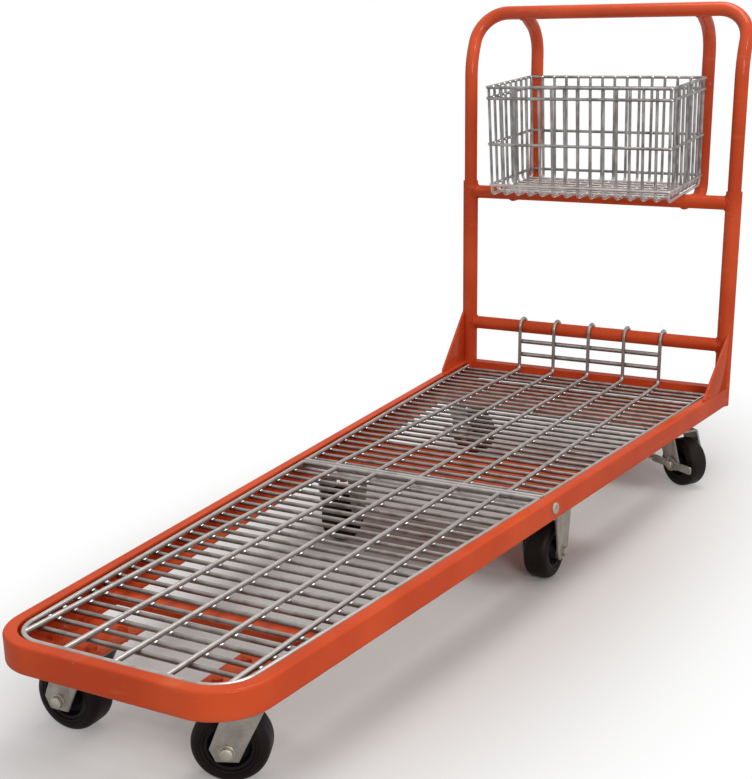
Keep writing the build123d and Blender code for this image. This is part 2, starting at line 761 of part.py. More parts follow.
kingpins = []
for row, side in stations:
    name = f"{row}_{side}"
    place = caster_place(row, side)
    trail = 0.0 if row == "mid" else caster_trail
    head_x = lever_outer + lever_gap if row == "rear" else fork_outer
    if row == "mid":
        save(f"rigid_fork_{side}", place * rigid_fork() - bolt_holes)
    else:
        save(f"swivel_plate_{name}", place * swivel_plate() - bolt_holes)
        kingpins.append((place * kingpin()).solid())
        place = place * Rot(0, 0, swivel_turns[name])
        save(f"fork_{name}", place * swivel_fork())
    if row == "rear":
        save(f"brake_lever_{name}", place * brake_lever(trail))
    save(f"axle_{name}", place * axle(trail, head_x))
    save(f"hub_{name}", place * hub(trail))
    save(f"tyre_{name}", place * tyre(trail))
    print(name, "axis", tuple(place.position), "wheel", tuple((place * Pos(0, trail, axle_z)).position))
save("kingpins", Compound(kingpins))

print("overall length", overall_length, "deck height", deck_z, "posts at", post_x, post_y)
print("panel hinge", post_y - overall_length / 2, lower_bar_z)
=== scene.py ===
# %% [markdown]
# # A six-wheel flat cart
# The real cart is an orange channel frame that narrows towards the front, with a deck of zinc-plated wire,
# a tall handle hoop with a wire basket, and small black casters. The CAD model holds every size and every
# joint already. This lesson loads it as a fixed frame and then works as a finisher would: it lights the
# cart, gives each surface its finish, and remakes the pieces whose real shape is rounder or finer than
# their CAD solids.

# %% Load the frame
import json
import math

import bpy
from mathutils import Matrix, Vector

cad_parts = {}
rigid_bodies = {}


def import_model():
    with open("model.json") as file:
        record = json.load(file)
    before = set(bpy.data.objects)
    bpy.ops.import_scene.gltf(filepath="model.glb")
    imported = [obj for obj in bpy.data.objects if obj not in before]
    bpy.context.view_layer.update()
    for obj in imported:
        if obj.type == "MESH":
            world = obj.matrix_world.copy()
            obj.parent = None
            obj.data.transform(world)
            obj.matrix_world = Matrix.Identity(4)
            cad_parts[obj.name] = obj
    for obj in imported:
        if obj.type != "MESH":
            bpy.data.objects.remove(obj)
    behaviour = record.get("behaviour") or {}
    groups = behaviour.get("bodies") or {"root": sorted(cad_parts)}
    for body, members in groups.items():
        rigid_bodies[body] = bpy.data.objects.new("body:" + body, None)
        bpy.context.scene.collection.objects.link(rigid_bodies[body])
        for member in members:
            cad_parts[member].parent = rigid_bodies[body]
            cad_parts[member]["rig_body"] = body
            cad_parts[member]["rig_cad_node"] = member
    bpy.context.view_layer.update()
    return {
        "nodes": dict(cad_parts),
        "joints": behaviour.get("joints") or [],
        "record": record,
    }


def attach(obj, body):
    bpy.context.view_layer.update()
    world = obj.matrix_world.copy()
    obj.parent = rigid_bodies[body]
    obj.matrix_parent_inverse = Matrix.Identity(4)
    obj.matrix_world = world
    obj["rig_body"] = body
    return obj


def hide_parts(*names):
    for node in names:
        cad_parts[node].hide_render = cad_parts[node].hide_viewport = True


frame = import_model()

# %% [markdown]
# ## Camera
# A picture is compared most easily from the place where it was taken. The photographer stood ahead of the
# cart, to its right, at about the height of the basket. A camera could be aimed by eye, but here its place
# and lens come from lines of the cart that were measured in the picture. The shift slides the view without
# turning the camera, as the picture's framing does.

# %% Stand where the photographer stood
CAMERA_PLACE = (0.97615, -1.94261, 0.86363)
CAMERA_TURN = [math.radians(angle) for angle in (73.0221, 0.1227, 26.8965)]
CAMERA_LENS = 60.9822
SENSOR_WIDTH = 36.0
LENS_SHIFT = (-0.07979, 0.08045)
bpy.ops.object.camera_add(location=CAMERA_PLACE, rotation=CAMERA_TURN)
camera = bpy.context.object
camera.name = "camera"
camera.data.sensor_fit = "HORIZONTAL"
camera.data.sensor_width = SENSOR_WIDTH
camera.data.lens = CAMERA_LENS
camera.data.shift_x, camera.data.shift_y = LENS_SHIFT
bpy.context.scene.camera = camera
print("camera with a lens of", round(CAMERA_LENS, 1), "mm")

# %% [markdown]
# ## Floor and light
# The cart stands on a pale studio floor. The light is soft: one broad lamp overhead, a second one at the
# cart's right, which the picture shows by its paler right-hand faces, and the sky. A small weak lamp adds
# the narrow highlights that a bent tube shows. White is what the camera and the reflections see, and the
# sky lights the cart at less than that, so that a colour comes out about as it is written. The floor is lit
# plainly near the cart, where it keeps the cart's shadow, and turns white further off.

# %% A small language for shader nodes


class Signal:
    """One output socket of a finish. Sums and products with it add the Math nodes they need."""

    def __init__(self, tree, socket=None):
        self.tree = tree
        self.socket = socket

    def node(self, kind, settings=None, inputs=None, out=0):
        """Adds any node: its kind, its settings, then the values or links of its sockets."""
        made = self.tree.nodes.new(kind)
        for name, value in (settings or {}).items():
            setattr(made, name, value)
        for key, value in (inputs or {}).items():
            if isinstance(value, Signal):
                self.tree.links.new(value.socket, made.inputs[key])
            else:
                made.inputs[key].default_value = value
        return Signal(self.tree, made.outputs[out] if made.outputs else None)

    def math(self, operation, first, second):
        return self.node("ShaderNodeMath", {"operation": operation}, {0: first, 1: second})

    def __add__(self, other):
        return self.math("ADD", self, other)

    __radd__ = __add__

    def __sub__(self, other):
        return self.math("SUBTRACT", self, other)

    def __rsub__(self, other):
        return self.math("SUBTRACT", other, self)

    def __mul__(self, other):
        return self.math("MULTIPLY", self, other)

    def between(self, low, high):
        """0 below low, 1 above high, and smooth from one to the other."""
        settings = {"interpolation_type": "SMOOTHSTEP"}
        return self.node("ShaderNodeMapRange", settings, {"Value": self, "From Min": low, "From Max": high})

    def blend(self, first, second):
        """The first colour where this is 0, and the second where it is 1."""
        return self.node("ShaderNodeMix", {"data_type": "RGBA"}, {0: self, 6: first, 7: second}, out=2)


def colour(red, green, blue):
    return (red, green, blue, 1.0)


print("shader language ready")

# %% Lay the floor
WHITE = colour(1.0, 1.0, 1.0)
FLOOR_PALE = colour(0.63, 0.605, 0.585)
FLOOR_SIZE = 60.0
NARROW_AS_THE_CART = (2.4, 1.0, 1.0)
PALE_UNTIL, WHITE_FROM = 0.55, 1.6
FLOOR_ROUGHNESS, FLOOR_SHINE = 0.9, 0.1
SKY_LIGHT = 0.38


def seen_directly(start):
    """1 for what the camera, a reflection or clear glass sees, and 0 for light that falls on the cart."""
    rays = ("Is Camera Ray", "Is Glossy Ray", "Is Transmission Ray")
    camera_ray, glossy_ray, clear_ray = [start.node("ShaderNodeLightPath", out=ray) for ray in rays]
    either = camera_ray.math("MAXIMUM", camera_ray, glossy_ray)
    return either.math("MAXIMUM", either, clear_ray)


def make_floor():
    """A pale floor under the cart that becomes white, as the camera sees it, some way off."""
    material = bpy.data.materials.new("pale_floor")
    material.use_nodes = True
    tree = material.node_tree
    shader = tree.nodes["Principled BSDF"]
    shader.inputs["Base Color"].default_value = FLOOR_PALE
    shader.inputs["Roughness"].default_value = FLOOR_ROUGHNESS
    shader.inputs["Specular IOR Level"].default_value = FLOOR_SHINE
    start = Signal(tree)
    place = start.node("ShaderNodeTexCoord", out="Object")
    spread = place.node("ShaderNodeMapping", None, {"Vector": place, "Scale": NARROW_AS_THE_CART})
    distance = spread.node("ShaderNodeVectorMath", {"operation": "LENGTH"}, {0: spread}, out="Value")
    white = start.node("ShaderNodeEmission", None, {"Color": WHITE, "Strength": 1.0})
    share = distance.between(PALE_UNTIL, WHITE_FROM) * seen_directly(start)
    lit = Signal(tree, shader.outputs[0])
    both = start.node("ShaderNodeMixShader", None, {0: share, 1: lit, 2: white})
    tree.links.new(both.socket, tree.nodes["Material Output"].inputs["Surface"])
    return material


bpy.ops.mesh.primitive_plane_add(size=FLOOR_SIZE)
floor = bpy.context.object
floor.name = "studio_floor"
floor.data.materials.append(make_floor())

world = bpy.data.worlds.new("studio_sky")
bpy.context.scene.world = world
world.use_nodes = True
sky = world.node_tree.nodes["Background"]
sky.inputs["Color"].default_value = WHITE
sky_strength = seen_directly(Signal(world.node_tree)) * (1.0 - SKY_LIGHT) + SKY_LIGHT
world.node_tree.links.new(sky_strength.socket, sky.inputs["Strength"])
print("floor laid, sky at", SKY_LIGHT)

# %% Hang the lamps
LAMPS = [
    # name, place, aimed at, width, watts
    ("lamp_overhead", (0.4, 0.6, 3.3), (0.0, 0.0, 0.2), 1.9, 60.0),
    ("lamp_right", (2.5, -2.6, 1.8), (0.2, -0.7, 0.2), 1.2, 46.0),
    ("lamp_small", (2.0, -0.9, 2.9), (0.1, 0.5, 0.7), 0.3, 8.0),
]
for name, place, target, width, watts in LAMPS:
    aim = (Vector(target) - Vector(place)).to_track_quat("-Z", "Y").to_euler()
    bpy.ops.object.light_add(type="AREA", location=place, rotation=aim)
    lamp = bpy.context.object
    lamp.name = name
    lamp.data.size = width
    lamp.data.energy = watts
    print(name, watts, "W")
bpy.context.scene.view_settings.view_transform = "Standard"

# %% [markdown]
# ## Finishes
# The cart has few materials, and each one shows its making. The frame was sprayed and baked, so its orange
# has a fine orange-peel skin, slow drifts in tone, rub marks where other carts have touched the rails, and
# a few chips. The wire is zinc-plated: the tops of the lengthwise deck wires carry a paler painted
# highlight, and the cross wires that lie lower are painted dark brown as shade and reflected orange. The
# casters are duller zinc with a mottled crystal pattern, and the wheels are black rubber with grey dust on
# it. All patterns read Object coordinates. Every mesh here sits at the cart's own origin, so that a pattern
# runs on from one piece to the next.

# %% Start a finish


def start_finish(name, metallic=0.0, **constants):
    """A new material with its constant values set, its shader, and its Object coordinates."""
    material = bpy.data.materials.new(name)
    material.use_nodes = True
    shader = material.node_tree.nodes["Principled BSDF"]
    shader.inputs["Metallic"].default_value = metallic
    for socket, value in constants.items():
        shader.inputs[socket.replace("_", " ")].default_value = value
    start = Signal(material.node_tree).node("ShaderNodeTexCoord", out="Object")
    return material, shader, start


def wear_finish(material, shader, base, roughness, height, depth):
    """Connects what varies: the colour, the roughness, and a bump whose full height is depth in metres."""
    links = material.node_tree.links
    links.new(base.socket, shader.inputs["Base Color"])
    links.new(roughness.socket, shader.inputs["Roughness"])
    bump = height.node("ShaderNodeBump", None, {"Height": height, "Distance": depth, "Strength": 1.0})
    links.new(bump.socket, shader.inputs["Normal"])
    return material


def grain(place, scale, detail, stretch=None):
    """Soft noise from 0 to 1. The scale counts bumps per metre, and stretch squeezes it along each axis."""
    if stretch:
        place = place.node("ShaderNodeMapping", None, {"Vector": place, "Scale": stretch})
    return place.node("ShaderNodeTexNoise", None, {"Vector": place, "Scale": scale, "Detail": detail})


print("finishes can be started")

# %% Orange paint
ORANGE_DEEP = colour(0.55, 0.064, 0.017)
ORANGE = colour(0.67, 0.088, 0.024)
ORANGE_RUBBED = colour(0.66, 0.19, 0.09)
PRIMER_GREY = colour(0.34, 0.24, 0.20)
DUST_BROWN = colour(0.25, 0.09, 0.05)
POLISHED_BY_HANDS = (0.80, 0.90)
DUSTY_BELOW = (0.132, 0.150)
COAT_EVERYWHERE, COAT_BY_HANDS = 0.18, 0.27
LONG_RUBS = (1.4, 0.35, 7.0)
TONES, RUB_MARKS, CHIP_SPOTS, DUST_PATCHES = (0.3, 0.7), (0.60, 0.72), (0.735, 0.76), (0.35, 0.7)
RUBBED_SHARE, DUSTY_SHARE = 0.22, 0.45
PAINT_RELIEF = 0.00022


def make_orange_paint():
    material, shader, place = start_finish("orange_paint", Specular_IOR_Level=0.0, Coat_Roughness=0.12)
    height_up = place.node("ShaderNodeSeparateXYZ", None, {"Vector": place}, out="Z")
    drift = grain(place, scale=6.0, detail=3.0)
    skin = grain(place, scale=480.0, detail=1.0)
    rubs = grain(place, scale=9.0, detail=4.0, stretch=LONG_RUBS).between(*RUB_MARKS)
    chips = grain(place, scale=95.0, detail=3.0).between(*CHIP_SPOTS)
    low_down = 1.0 - height_up.between(*DUSTY_BELOW)
    dust = low_down * grain(place, scale=30.0, detail=4.0).between(*DUST_PATCHES)
    base = drift.between(*TONES).blend(ORANGE_DEEP, ORANGE)
    base = (rubs * RUBBED_SHARE).blend(base, ORANGE_RUBBED)
    base = (dust * DUSTY_SHARE).blend(base, DUST_BROWN)
    base = chips.blend(base, PRIMER_GREY)
    polish = height_up.between(*POLISHED_BY_HANDS) * COAT_BY_HANDS + COAT_EVERYWHERE
    material.node_tree.links.new(polish.socket, shader.inputs["Coat Weight"])
    roughness = 0.26 + drift * 0.10 + rubs * 0.14 + dust * 0.2
    return wear_finish(material, shader, base, roughness, skin * 0.35 - chips * 0.65, PAINT_RELIEF)


orange_paint = make_orange_paint()
print(orange_paint.name, len(orange_paint.node_tree.nodes), "nodes")

# %% Zinc wire
ZINC_BRIGHT = colour(0.32, 0.29, 0.272)
ZINC_TARNISHED = colour(0.185, 0.163, 0.150)
# The next two colours are painted light: a paler painted highlight for the tops of the lengthwise wires, and
# dark brown painted shade for the lower cross wires.
ZINC_PAINTED_HIGHLIGHT = colour(0.47, 0.44, 0.418)
WIRE_PAINTED_SHADE = colour(0.13, 0.095, 0.075)
LOWER_WIRES = (0.1665, 0.1705)
HIGHLIGHTED_TOPS = (0.1742, 0.1766)
ABOVE_DECK = (0.185, 0.200)
TARNISH_PATCHES, TARNISHED_SHARE = (0.38, 0.72), 0.75
WIRE_RELIEF = 0.00008


def make_zinc_wire():
    material, shader, place = start_finish("zinc_wire", metallic=1.0)
    height_up = place.node("ShaderNodeSeparateXYZ", None, {"Vector": place}, out="Z")
    on_deck = 1.0 - height_up.between(*ABOVE_DECK)
    # The cross wires that lie lower are coloured dark brown, as painted shade and reflected orange from the
    # frame.
    shade_below = (1.0 - height_up.between(*LOWER_WIRES)) * on_deck
    # The tops of the lengthwise wires are coloured paler, as a painted highlight.
    painted_top_light = height_up.between(*HIGHLIGHTED_TOPS) * on_deck
    tarnish = grain(place, scale=42.0, detail=4.0).between(*TARNISH_PATCHES)
    drawn = grain(place, scale=700.0, detail=2.0)
    base = (tarnish * TARNISHED_SHARE).blend(ZINC_BRIGHT, ZINC_TARNISHED)
    base = (shade_below * (0.45 + tarnish * 0.4)).blend(base, WIRE_PAINTED_SHADE)
    base = (painted_top_light * (0.9 - tarnish * 0.5)).blend(base, ZINC_PAINTED_HIGHLIGHT)
    roughness = 0.32 + tarnish * 0.16 + shade_below * 0.10 + drawn * 0.05 - painted_top_light * 0.06
    return wear_finish(material, shader, base, roughness, drawn, WIRE_RELIEF)


zinc_wire = make_zinc_wire()
print(zinc_wire.name, len(zinc_wire.node_tree.nodes), "nodes")

# %% Weld spots: the same zinc, coloured much paler than the wire as a painted glint
# A pale colour for the weld drops, as a painted glint.
WELD_GLINT = colour(0.70, 0.69, 0.67)
WELD_DULL = colour(0.42, 0.40, 0.38)
BURNT_PATCHES = (0.45, 0.75)
WELD_RELIEF = 0.00025


def make_weld_zinc():
    material, shader, place = start_finish("weld_zinc", metallic=1.0)
    burnt = grain(place, scale=60.0, detail=3.0).between(*BURNT_PATCHES)
    ripple = grain(place, scale=900.0, detail=2.0)
    base = burnt.blend(WELD_GLINT, WELD_DULL)
    return wear_finish(material, shader, base, 0.22 + burnt * 0.16, ripple, WELD_RELIEF)


weld_zinc = make_weld_zinc()
print(weld_zinc.name, len(weld_zinc.node_tree.nodes), "nodes")

# %% Basket wire: the same plating, darker with handling, and paler on the floor as painted light from above
BASKET_ZINC = colour(0.36, 0.35, 0.34)
BASKET_DARK = colour(0.19, 0.18, 0.175)
# A paler colour for the basket floor, as painted light from above.
BASKET_FLOOR_LIT = colour(0.56, 0.51, 0.49)
FLOOR_HEIGHTS = (0.600, 0.622)
HANDLED_PATCHES = (0.3, 0.7)


def make_basket_wire():
    material, shader, place = start_finish("basket_wire", metallic=1.0)
    tarnish = grain(place, scale=34.0, detail=4.0).between(*HANDLED_PATCHES)
    drawn = grain(place, scale=700.0, detail=2.0)
    height_up = place.node("ShaderNodeSeparateXYZ", None, {"Vector": place}, out="Z")
    # Everything below the basket floor's height takes the paler colour, as painted light.
    painted_top_light = 1.0 - height_up.between(*FLOOR_HEIGHTS)
    base = tarnish.blend(BASKET_ZINC, BASKET_DARK)
    base = (painted_top_light * (0.9 - tarnish * 0.4)).blend(base, BASKET_FLOOR_LIT)
    roughness = 0.34 + tarnish * 0.18 + drawn * 0.05
    return wear_finish(material, shader, base, roughness, drawn, WIRE_RELIEF)


basket_wire = make_basket_wire()
print(basket_wire.name, len(basket_wire.node_tree.nodes), "nodes")

# %% Caster zinc and fasteners
PLATE_PALE = colour(0.36, 0.335, 0.298)
PLATE_DULL = colour(0.25, 0.235, 0.21)
BOLT_PALE = colour(0.46, 0.43, 0.37)
BOLT_DULL = colour(0.27, 0.245, 0.20)
PLATE_CRYSTALS, BOLT_CRYSTALS = 210.0, 420.0
STAINS, STAINED_SHARE, CRYSTAL_SHARE = (0.35, 0.75), 0.7, 0.25
PLATE_METALLIC = 0.85
PLATE_RELIEF = 0.00012


def make_zinc_plate(name, pale, dull, crystals):
    material, shader, place = start_finish(name, metallic=PLATE_METALLIC)
    cells = place.node("ShaderNodeTexVoronoi", None, {"Vector": place, "Scale": crystals}, out="Color")
    cell = cells.node("ShaderNodeSeparateColor", None, {"Color": cells})
    stain = grain(place, scale=55.0, detail=4.0).between(*STAINS)
    skin = grain(place, scale=900.0, detail=2.0)
    base = (stain * STAINED_SHARE + cell * CRYSTAL_SHARE).blend(pale, dull)
    roughness = 0.40 + stain * 0.14 + cell * 0.08
    return wear_finish(material, shader, base, roughness, skin * 0.6 + cell * 0.4, PLATE_RELIEF)


zinc_caster = make_zinc_plate("zinc_caster", PLATE_PALE, PLATE_DULL, PLATE_CRYSTALS)
fastener = make_zinc_plate("fastener", BOLT_PALE, BOLT_DULL, BOLT_CRYSTALS)
print(zinc_caster.name, "and", fastener.name)

# %% Rubber and the black wheel centres
RUBBER = colour(0.0075, 0.0042, 0.0035)
RUBBER_DUST = colour(0.028, 0.021, 0.018)
CENTRE_BLACK = colour(0.007, 0.0062, 0.0062)
CENTRE_WORN = colour(0.022, 0.020, 0.019)
FLOOR_DUST = (0.42, 0.80)
BLACK_SHINE = 0.13


def make_black(name, black, worn, share, rough, skin_scale, skin_depth):
    material, shader, place = start_finish(name, Specular_IOR_Level=BLACK_SHINE)
    dust = grain(place, scale=38.0, detail=5.0).between(*FLOOR_DUST)
    skin = grain(place, scale=skin_scale, detail=2.0)
    base = (dust * share).blend(black, worn)
    return wear_finish(material, shader, base, rough + dust * 0.18, skin + dust * 0.3, skin_depth)


tyre_rubber = make_black(
    "tyre", RUBBER, RUBBER_DUST, share=0.45, rough=0.46, skin_scale=620.0, skin_depth=0.00025
)
wheel_centre = make_black(
    "hub", CENTRE_BLACK, CENTRE_WORN, share=0.6, rough=0.38, skin_scale=1100.0, skin_depth=0.0001
)
print(tyre_rubber.name, "and", wheel_centre.name)

# %% Dress the CAD nodes
FINISHES = {
    "orange_paint": orange_paint,
    "zinc_wire": zinc_wire,
    "zinc_caster": zinc_caster,
    "fastener": fastener,
    "tyre": tyre_rubber,
    "hub": wheel_centre,
}
for node in frame["nodes"].values():
    for material_slot in node.material_slots:
        material_slot.material = FINISHES[material_slot.material.name.split(".")[0]]
# The caster bolts were sprayed with the frame, and the bar under the deck's joint is as dull as the basket.
frame["nodes"]["caster_bolts"].material_slots[0].material = orange_paint
# This bar lies below the basket floor's height, so it also takes the basket floor's painted light.
frame["nodes"]["panel_support_bar"].material_slots[0].material = basket_wire
print("dressed", len(frame["nodes"]), "nodes")

# %% [markdown]
# ## Working by hand
# Operators act on whatever is selected, and loading the frame leaves every CAD node selected. So each new
# piece starts from an empty selection. A finished piece has its place in its mesh, takes one finish, names
# the CAD body that it moves with, and hides the CAD nodes that it stands for.

# %% Helpers of the bench
MILLIMETRE = 0.001
SAME_PLACE = 1e-6


def pick(*pieces):
    """Selects only these objects, and makes the last one active."""
    if bpy.context.object and bpy.context.object.mode != "OBJECT":
        bpy.ops.object.mode_set(mode="OBJECT")
    bpy.ops.object.select_all(action="DESELECT")
    for piece in pieces:
        piece.select_set(True)
        bpy.context.view_layer.objects.active = piece


def settle(piece):
    """Puts an object's place, turn and size into its mesh."""
    pick(piece)
    bpy.ops.object.transform_apply(location=True, rotation=True, scale=True)
    return piece


def copy_of(master, name):
    """A copy of an object, with its own mesh."""
    pick(master)
    bpy.ops.object.duplicate()
    copy = bpy.context.object
    copy.name = name
    copy.data.name = name
    return copy


def joined(name, pieces):
    """Several objects made into one."""
    pick(*pieces)
    bpy.ops.object.join()
    piece = bpy.context.object
    piece.name = name
    piece.data.name = name
    return piece


def draw_path(points, closed):
    """A path through points, drawn from one vertex by extruding it. It is left in Edit mode."""
    pick()
    bpy.ops.mesh.primitive_plane_add(size=MILLIMETRE)
    piece = bpy.context.object
    bpy.ops.object.mode_set(mode="EDIT")
    bpy.ops.mesh.select_all(action="SELECT")
    bpy.ops.mesh.merge(type="CENTER")
    bpy.ops.mesh.select_all(action="SELECT")
    bpy.ops.transform.translate(value=points[0])
    ends = points[1:] + (points[:1] if closed else [])
    for start, end in zip(points, ends):
        bpy.ops.mesh.extrude_region_move(TRANSFORM_OT_translate={"value": end - start})
    bpy.ops.mesh.select_all(action="SELECT")
    bpy.ops.mesh.remove_doubles(threshold=SAME_PLACE)
    return piece


def hand_over(piece, body, finish, slot, *nodes):
    """Finishes a piece and fixes it to the body it moves with."""
    piece.data.materials.clear()
    piece.data.materials.append(finish)
    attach(piece, body)
    if nodes:
        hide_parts(*nodes)


def faces_of(piece):
    return len(piece.data.polygons)


print("bench ready")

# %% [markdown]
# ## Wheels
# Each wheel is a black rubber tyre on a moulded centre. Both are round, so a lathe makes them: an outline
# is drawn point by point from one vertex, by extruding it, and Spin turns it about the axle. A torus or a
# cylinder would also be round, but could not have the rounded shoulders, the ring in the side wall, or the
# fine line that the mould left round the tread. One wheel is modelled at the origin, and copied to each of
# the six axles, whose places and directions the CAD joints give.

# %% A lathe
HUB_STEPS, TYRE_STEPS, BOLT_STEPS = 72, 96, 40
SMOOTH_ANGLE = math.radians(32)
EDGE_SEGMENTS = 2


def turn_on_lathe(name, outline, steps):
    """A ring about the X axis. Its closed outline lists places along the axle and radii, in millimetres."""
    points = [Vector((along, 0.0, radius)) / 1000 for along, radius in outline]
    piece = draw_path(points, closed=True)
    piece.name = name
    bpy.ops.mesh.spin(steps=steps, angle=2 * math.pi, center=(0, 0, 0), axis=(1, 0, 0))
    bpy.ops.mesh.select_all(action="SELECT")
    bpy.ops.mesh.remove_doubles(threshold=SAME_PLACE)
    bpy.ops.mesh.normals_make_consistent(inside=False)
    bpy.ops.object.mode_set(mode="OBJECT")
    bpy.ops.object.shade_smooth_by_angle(angle=SMOOTH_ANGLE)
    return piece


def both_halves(half):
    """An outline and its mirror image, for a ring that is the same on both sides."""
    return half + [(-along, radius) for along, radius in reversed(half)]


print("lathe ready")

# %% Turn a tyre and a wheel centre
SHOULDER = 11.0
SHOULDER_FLATTENED = 0.25
SHOULDER_CENTRE = (11.0, 39.8)
side_wall = [(21.0, 33.02), (21.8, 33.6), (22.0, 34.6)]
side_ring = [(22.0, 35.9), (21.2, 36.4), (21.2, 37.3), (22.0, 37.8)]
shoulder = []
for degrees in range(0, 91, 10):
    angle = math.radians(degrees)
    along = SHOULDER_CENTRE[0] + SHOULDER * math.cos(angle)
    shoulder.append((along, SHOULDER_CENTRE[1] + (SHOULDER - SHOULDER_FLATTENED) * math.sin(angle)))
tread = [(7.0, 50.68), (3.0, 50.76), (0.7, 50.77), (0.4, 50.8)]
tyre_half = side_wall + side_ring + shoulder + tread
tyre_master = turn_on_lathe("tyre_master", both_halves(tyre_half), TYRE_STEPS)

boss = [(24.5, 8.05), (25.0, 8.5), (25.0, 14.2), (24.2, 15.0), (9.2, 16.4), (7.6, 17.4), (7.0, 19.0)]
dish = [(7.0, 22.6), (6.2, 23.0), (6.2, 24.0), (7.0, 24.4), (7.6, 25.6), (9.2, 26.4)]
rim = [(18.6, 27.8), (19.7, 28.3), (20.0, 29.0), (20.0, 32.4), (19.4, 33.0)]
hub_master = turn_on_lathe("hub_master", both_halves(boss + dish + rim), HUB_STEPS)
print("tyre", faces_of(tyre_master), "faces, centre", faces_of(hub_master), "faces")

# %% [markdown]
# ## Axles
# A bolt holds each wheel in its fork. One end is a low round head, as on the front right caster, and the
# other end is a hexagon nut on a washer. Between the legs a collared sleeve carries the wheel. The round
# parts come off the lathe. The nut starts as a six-sided cylinder, and a bevel takes the edge off it. The
# front left and the middle casters show their nuts to the camera and the front right one its head, so the
# bolt is turned end for end where it needs to be.

# %% Make the axle bolts
LEG_OUTER = 35.0
LEVER_ROOM = 5.0
NUT_ACROSS = 16.0
NUT_HEIGHT = 5.2
NUT_MIDDLE = -38.85
NUT_EDGE = 0.7


def make_axle(name, head_shift):
    """An axle bolt along X, whose head stands further out where a brake lever sits behind it."""
    thread = [(-42.0, 0.0), (-42.0, 3.6), (-41.2, 4.8), (-36.2, 4.8)]
    washer = [(-36.2, 10.4), (-35.9, 10.8), (-35.05, 10.8)]
    sleeve = [(-35.05, 4.95), (-31.0, 4.95), (-31.0, 11.2), (-30.7, 11.5), (-25.6, 11.5), (-25.5, 8.0)]
    other_sleeve = [(-along, radius) for along, radius in reversed(sleeve)][:-2]
    seat = LEG_OUTER + head_shift
    head = [(31.0, 4.95), (seat + 0.05, 4.95), (seat + 0.05, 10.8), (seat + 0.9, 10.8), (seat + 1.2, 10.4)]
    dome = [(1.2, 8.8), (4.2, 8.8), (5.6, 8.2), (6.5, 6.6), (6.9, 4.0), (7.0, 0.0)]
    outline = thread + washer + sleeve + other_sleeve + head
    outline += [(seat + out, radius) for out, radius in dome]
    bolt = turn_on_lathe(name, outline, BOLT_STEPS)
    pick()
    bpy.ops.mesh.primitive_cylinder_add(
        vertices=6,
        radius=NUT_ACROSS / math.sqrt(3) / 1000,
        depth=NUT_HEIGHT / 1000,
        location=(NUT_MIDDLE / 1000, 0, 0),
        rotation=(0, math.pi / 2, 0),
    )
    nut = settle(bpy.context.object)
    bpy.ops.object.mode_set(mode="EDIT")
    bpy.ops.mesh.select_all(action="SELECT")
    bpy.ops.mesh.bevel(offset=NUT_EDGE / 1000, segments=EDGE_SEGMENTS, affect="EDGES")
    bpy.ops.object.mode_set(mode="OBJECT")
    bpy.ops.object.shade_smooth_by_angle(angle=SMOOTH_ANGLE)
    return joined(name, [nut, bolt])


axle_master = make_axle("axle_master", 0.0)
braked_axle_master = make_axle("braked_axle_master", LEVER_ROOM)
print("axle", faces_of(axle_master), "faces")

# %% Fit wheels and axles
HEAD_ON_LEFT = ("front_right", "mid_right")


def set_on_axle(master, name, joint, turn_round=False):
    """A copy of a wheel part, moved to a wheel joint and turned to lie along its axle."""
    copy = copy_of(master, name)
    turn = math.atan2(joint["axis"][1], joint["axis"][0])
    copy.rotation_euler = (0, 0, turn + (math.pi if turn_round else 0.0))
    copy.location = joint["pos_m"]
    return settle(copy)


for joint in frame["joints"]:
    if not joint["name"].startswith("spin_"):
        continue
    corner = joint["name"].removeprefix("spin_")
    wheel_tyre = set_on_axle(tyre_master, f"wheel_tyre_{corner}", joint)
    hand_over(wheel_tyre, joint["child"], tyre_rubber, "tyre", f"tyre_{corner}")
    wheel_hub = set_on_axle(hub_master, f"wheel_centre_{corner}", joint)
    hand_over(wheel_hub, joint["child"], wheel_centre, "hub", f"hub_{corner}")
    master = braked_axle_master if corner.startswith("rear") else axle_master
    bolt = set_on_axle(master, f"axle_bolt_{corner}", joint, corner in HEAD_ON_LEFT)
    hand_over(bolt, joint["parent"], fastener, "zinc_caster", f"axle_{corner}")
    print("wheel", corner, "at", [round(value, 3) for value in joint["pos_m"]])
pick(tyre_master, hub_master, axle_master, braked_axle_master)
bpy.ops.object.delete()

# %% [markdown]
# ## Pressed-steel pieces
# Forks, brake levers and gussets are cut and pressed from plate. Their CAD solids have knife-sharp edges,
# and real ones catch a line of light along each edge. They could be drawn again from boxes, but their
# outlines are right already. So each one is copied, its loose triangles are merged into whole faces, and a
# Bevel modifier rounds every edge that is sharper than a set angle.

# %% Round the edges of the pressed pieces
FLAT_WITHIN = math.radians(0.5)
SHARPER_THAN = math.radians(40)


def round_edges(node, name, width):
    """A copy of a CAD node with its sharp edges rounded, in millimetres."""
    copy = copy_of(frame["nodes"][node], name)
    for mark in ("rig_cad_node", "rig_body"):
        del copy[mark]
    copy.parent = None
    bpy.ops.object.mode_set(mode="EDIT")
    bpy.ops.mesh.customdata_custom_splitnormals_clear()
    bpy.ops.mesh.select_all(action="SELECT")
    bpy.ops.mesh.remove_doubles(threshold=SAME_PLACE)
    bpy.ops.mesh.dissolve_limited(angle_limit=FLAT_WITHIN)
    bpy.ops.object.mode_set(mode="OBJECT")
    bevel = copy.modifiers.new("rounded", "BEVEL")
    bevel.width = width / 1000
    bevel.segments = EDGE_SEGMENTS
    bevel.limit_method = "ANGLE"
    bevel.angle_limit = SHARPER_THAN
    bevel.use_clamp_overlap = False
    bpy.ops.object.modifier_apply(modifier=bevel.name)
    bpy.ops.object.shade_smooth_by_angle(angle=SMOOTH_ANGLE)
    return copy


